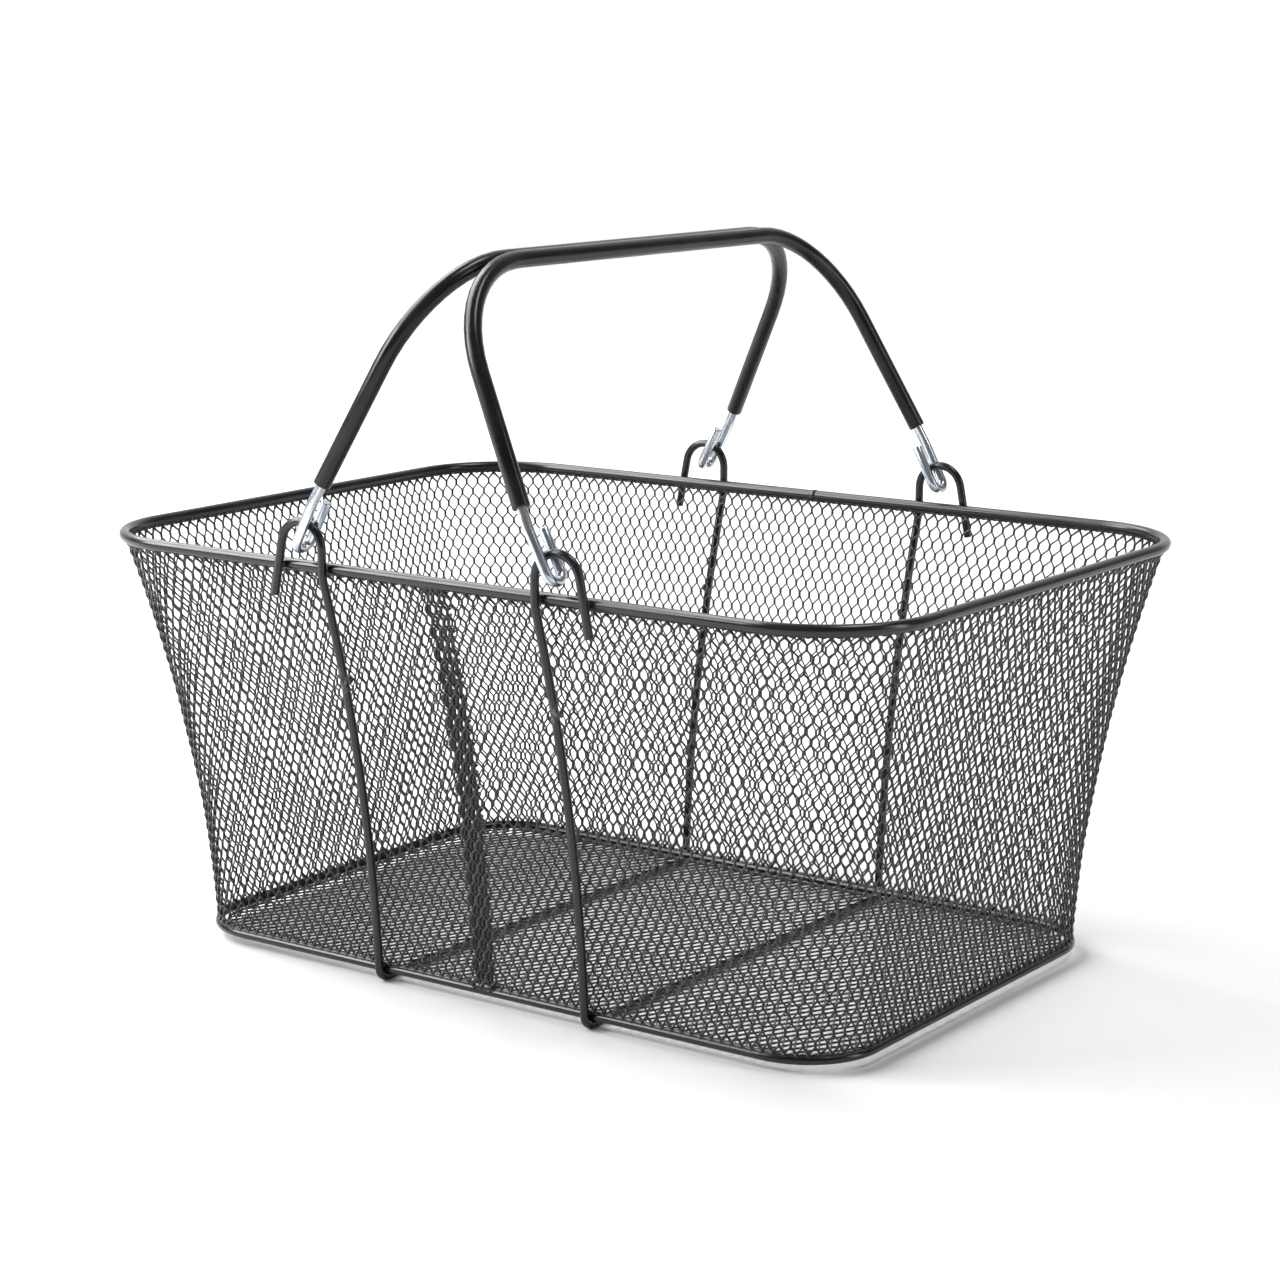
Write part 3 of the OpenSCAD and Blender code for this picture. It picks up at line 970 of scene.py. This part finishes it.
bead_tree = weld_bead_tree()
bead_roughness = 0.9 * mm


def weld_beads(name, places, half_size, material, node):
    """A bead at each place, all with the same half sizes, which are in millimetres."""
    mesh = bpy.data.meshes.new(name)
    mesh.from_pydata(places, [], [])
    sizes = mesh.attributes.new("size", "FLOAT_VECTOR", "POINT")
    sizes.data.foreach_set("vector", np.ravel([half_size] * len(places)) * mm)
    piece = run_tree(name, mesh, bead_tree, Roughness=bead_roughness, Material=material)
    stand_for(piece, "basket", node)


# %% Welds of the support wires to the rings and the wall
signs = [(sx, sy) for sx in (-1, 1) for sy in (-1, 1)]
tail_at_rim = tail_x + (tail_top - rim_z) * math.tan(eye_splay)
beside_rim, beside_base = rim_half_y + rim_r, (base_half_y + foot_y) / 2
bead_stands_out = 0.6 * mm
leg_weld_y = wall_half_y(leg_weld_z) + bead_stands_out
at_rim = [(sx * x, sy * beside_rim, rim_z) for sx, sy in signs for x in (support_x, tail_at_rim)]
at_base = [(sx * support_x, sy * beside_base, base_z + base_r) for sx, sy in signs]
on_legs = [(sx * support_x, sy * leg_weld_y, leg_weld_z) for sx, sy in signs]
weld_beads("rim_weld_beads", at_rim, (1.9, 1.3, 1.7), wire_paint, "rim_welds")
weld_beads("base_weld_beads", at_base, (2.1, 1.7, 1.5), wire_paint, "base_welds")
weld_beads("leg_weld_beads", on_legs, (1.1, 1.2, 2.0), leg_paint, "leg_welds")

# %% Spot welds of the floor and the seam
floor_weld_rows = [y * mm for y in (-80, 0, 80)]
seam_weld_heights = [z * mm for z in (26, 62, 98, 134, 170)]
on_floor = [(sx * support_x, y, floor_low.z) for sx in (-1, 1) for y in floor_weld_rows]
on_seam = [(0.0, -wall_half_y(z), z) for z in seam_weld_heights]
weld_beads("floor_weld_beads", on_floor, (2.0, 2.2, 0.9), wire_paint, "floor_welds")
weld_beads("seam_weld_spots", on_seam, (1.6, 0.9, 1.6), mesh_paint, "seam_welds")

# %% [markdown]
# ## Studio
# Gloss black shows little but reflections, so the studio is drawn for them. The floor is pale
# and the sky looks white, but only its far side gives much light: the near side is dim and
# keeps the wires black. Soft boxes lay a clear highlight along the wires. A floor lit only
# near the basket turns grey far away, so it glows a little more with distance and meets the
# sky without a line.


# %% Floor
floor_half, floor_white = 30.0, (0.84, 0.84, 0.84, 1)
glow_starts, glow_full, glow_level = 0.6, 2.4, 0.72


def pale_floor():
    mesh = bpy.data.meshes.new("studio_floor")
    corners = [(-1, -1), (1, -1), (1, 1), (-1, 1)]
    mesh.from_pydata([(x * floor_half, y * floor_half, 0) for x, y in corners], [], [(0, 1, 2, 3)])
    floor = bpy.data.objects.new("studio_floor", mesh)
    bpy.context.scene.collection.objects.link(floor)
    material, tree, surface, place = shader("pale_floor")
    surface.inputs["Base Color"].default_value = floor_white
    surface.inputs["Roughness"].default_value = 0.8
    surface.inputs["Specular IOR Level"].default_value = 0.1
    surface.inputs["Emission Color"].default_value = (1, 1, 1, 1)
    away = vector_maths(tree, "LENGTH", {0: place}, "Value")
    glow = spread(tree, away, 0.0, glow_level, glow_starts, glow_full)
    tree.links.new(glow, surface.inputs["Emission Strength"])
    mesh.materials.append(material)


# %% Sky
dim_level, bright_level = 0.16, 1.05
dim_until, bright_from = 0.45, 0.85


def pale_sky(bright_side):
    """A sky that looks white everywhere, but lights the basket mostly from bright_side."""
    world = bpy.data.worlds.new("studio_sky")
    bpy.context.scene.world = world
    world.use_nodes = True
    tree = world.node_tree
    direction = tree.nodes.new("ShaderNodeTexCoord").outputs["Generated"]
    facing = vector_maths(tree, "DOT_PRODUCT", {0: direction, 1: bright_side}, "Value")
    level = spread(tree, facing, dim_level, bright_level, dim_until, bright_from)
    seen = tree.nodes.new("ShaderNodeLightPath").outputs["Is Camera Ray"]
    background = tree.nodes["Background"].inputs
    tree.links.new(maths(tree, "MAXIMUM", level, seen), background["Strength"])
    background["Color"].default_value = (1, 1, 1, 1)


# %% Soft boxes
def soft_box(name, place, target, size, power):
    lamp = bpy.data.lights.new(name, "AREA")
    lamp.shape = "RECTANGLE"
    lamp.size, lamp.size_y = size
    lamp.energy = power
    light = bpy.data.objects.new(name, lamp)
    bpy.context.scene.collection.objects.link(light)
    light.location = place
    light.rotation_euler = (Vector(target) - Vector(place)).to_track_quat("-Z", "Y").to_euler()


# %% Light the scene
view_side = math.radians(35.7)
pale_floor()
pale_sky(bright_side=(-math.sin(view_side), math.cos(view_side), 0.1))
low_aim, high_aim = (0, 0, 0.1), (0, 0, 0.15)
soft_box("key_box", place=(-1.3, -0.1, 1.6), target=low_aim, size=(2.0, 1.3), power=56)
soft_box("left_box", place=(-1.35, -1.25, 1.05), target=low_aim, size=(1.0, 0.9), power=32)
soft_box("top_box", place=(0.5, 0.3, 1.9), target=low_aim, size=(0.9, 0.5), power=10)
soft_box("right_box", place=(1.9, 0.4, 0.7), target=high_aim, size=(0.35, 1.4), power=8)
bpy.context.scene.view_settings.view_transform = "Standard"
print("soft boxes:", [light.name for light in bpy.data.lights])

# %% [markdown]
# ## Camera
# The basket is seen from a little above and well round to one side with a portrait lens, so
# its long front and its short side both show and the far rim is just seen over the near one.


# %% Camera
def look_from(azimuth, height, distance, lens, target):
    camera = bpy.data.objects.new("camera", bpy.data.cameras.new("camera"))
    bpy.context.scene.collection.objects.link(camera)
    camera.location = (distance * math.sin(azimuth), -distance * math.cos(azimuth), height)
    aim = Vector(target) - camera.location
    camera.rotation_euler = aim.to_track_quat("-Z", "Y").to_euler()
    camera.data.lens = lens
    camera.data.sensor_width = 36
    camera.data.clip_end = 100
    bpy.context.scene.camera = camera


look_from(view_side, height=0.436, distance=1.408, lens=84, target=(0, 0, 0.150))
print("camera at", [round(v, 3) for v in bpy.context.scene.camera.location])
